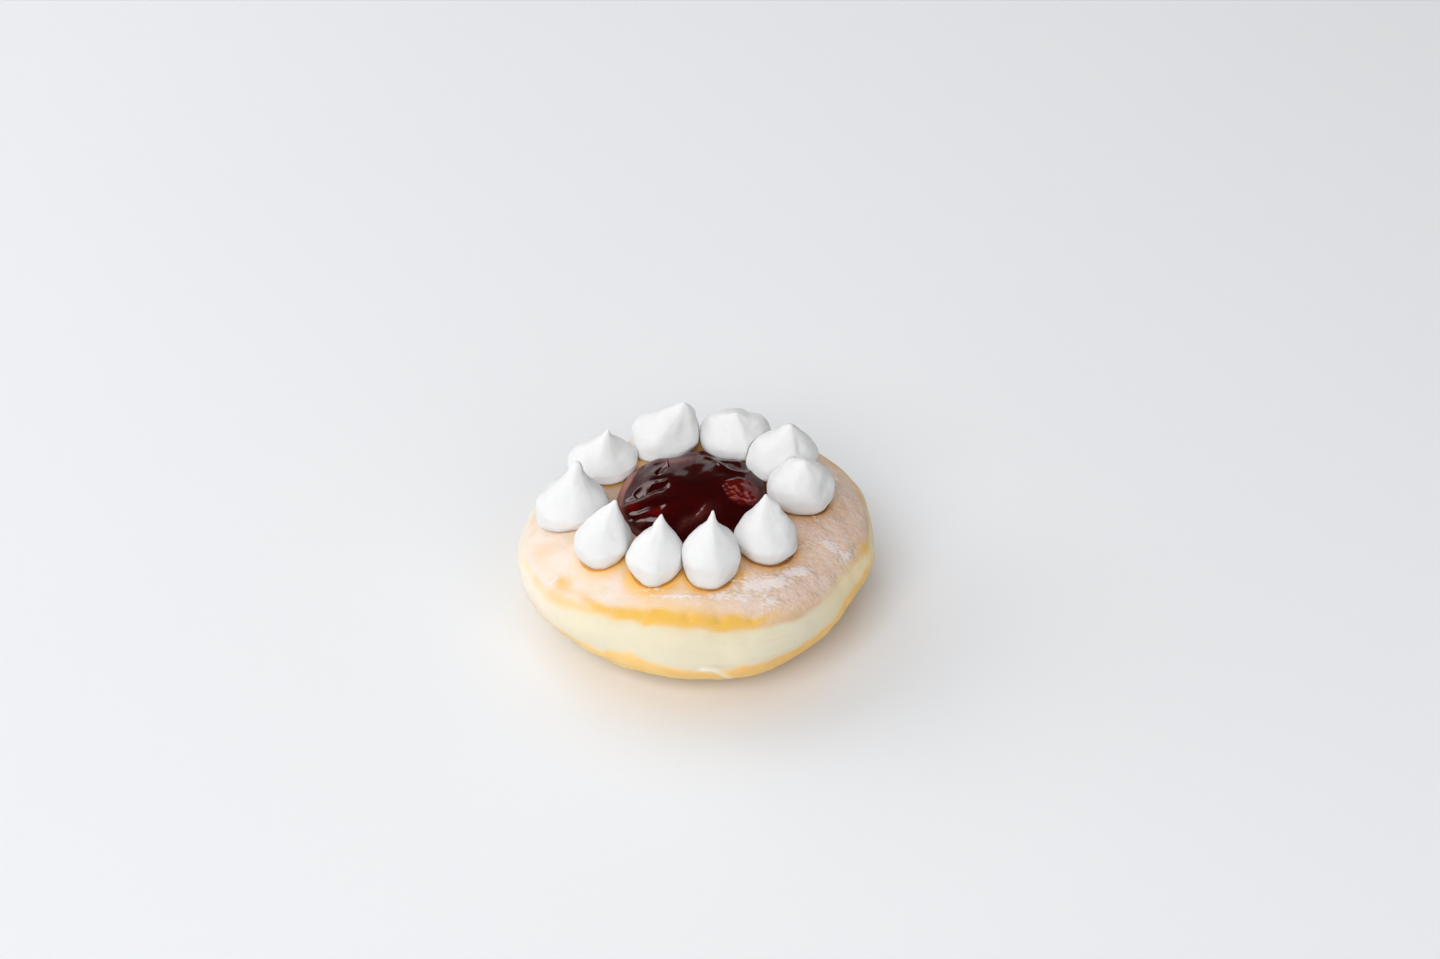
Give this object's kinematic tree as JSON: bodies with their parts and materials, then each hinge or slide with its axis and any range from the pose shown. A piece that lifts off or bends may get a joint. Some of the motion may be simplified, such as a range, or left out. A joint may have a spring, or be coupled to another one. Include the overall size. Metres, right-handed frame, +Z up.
{
  "type": "filled doughnut",
  "caption": "Round filled doughnut with a pale collar, dark red jam in its dished top and a ring of piped white cream dollops.",
  "frame": {"origin": "on the resting plane, under the middle of the doughnut's outline", "axes": "+Z up; +X to the right and -Y towards the viewer of the pictured side"},
  "size_m": [0.0926, 0.0894, 0.0503],
  "materials": {
    "fried_dough": "fried yeast dough: golden crust with a film of sugar on top, a smooth pale cream-coloured collar round the middle and a golden underside",
    "red_jam": "dark red fruit jam with a wet gloss",
    "whipped_cream": "white whipped cream with a soft satin surface"
  },
  "bodies": {
    "root": {"doughnut": "fried_dough", "jam": "red_jam", "cream_dollop_01": "whipped_cream", "cream_dollop_02": "whipped_cream", "cream_dollop_03": "whipped_cream", "cream_dollop_04": "whipped_cream", "cream_dollop_05": "whipped_cream", "cream_dollop_06": "whipped_cream", "cream_dollop_07": "whipped_cream", "cream_dollop_08": "whipped_cream", "cream_dollop_09": "whipped_cream", "cream_dollop_10": "whipped_cream"}
  },
  "joints": []
}
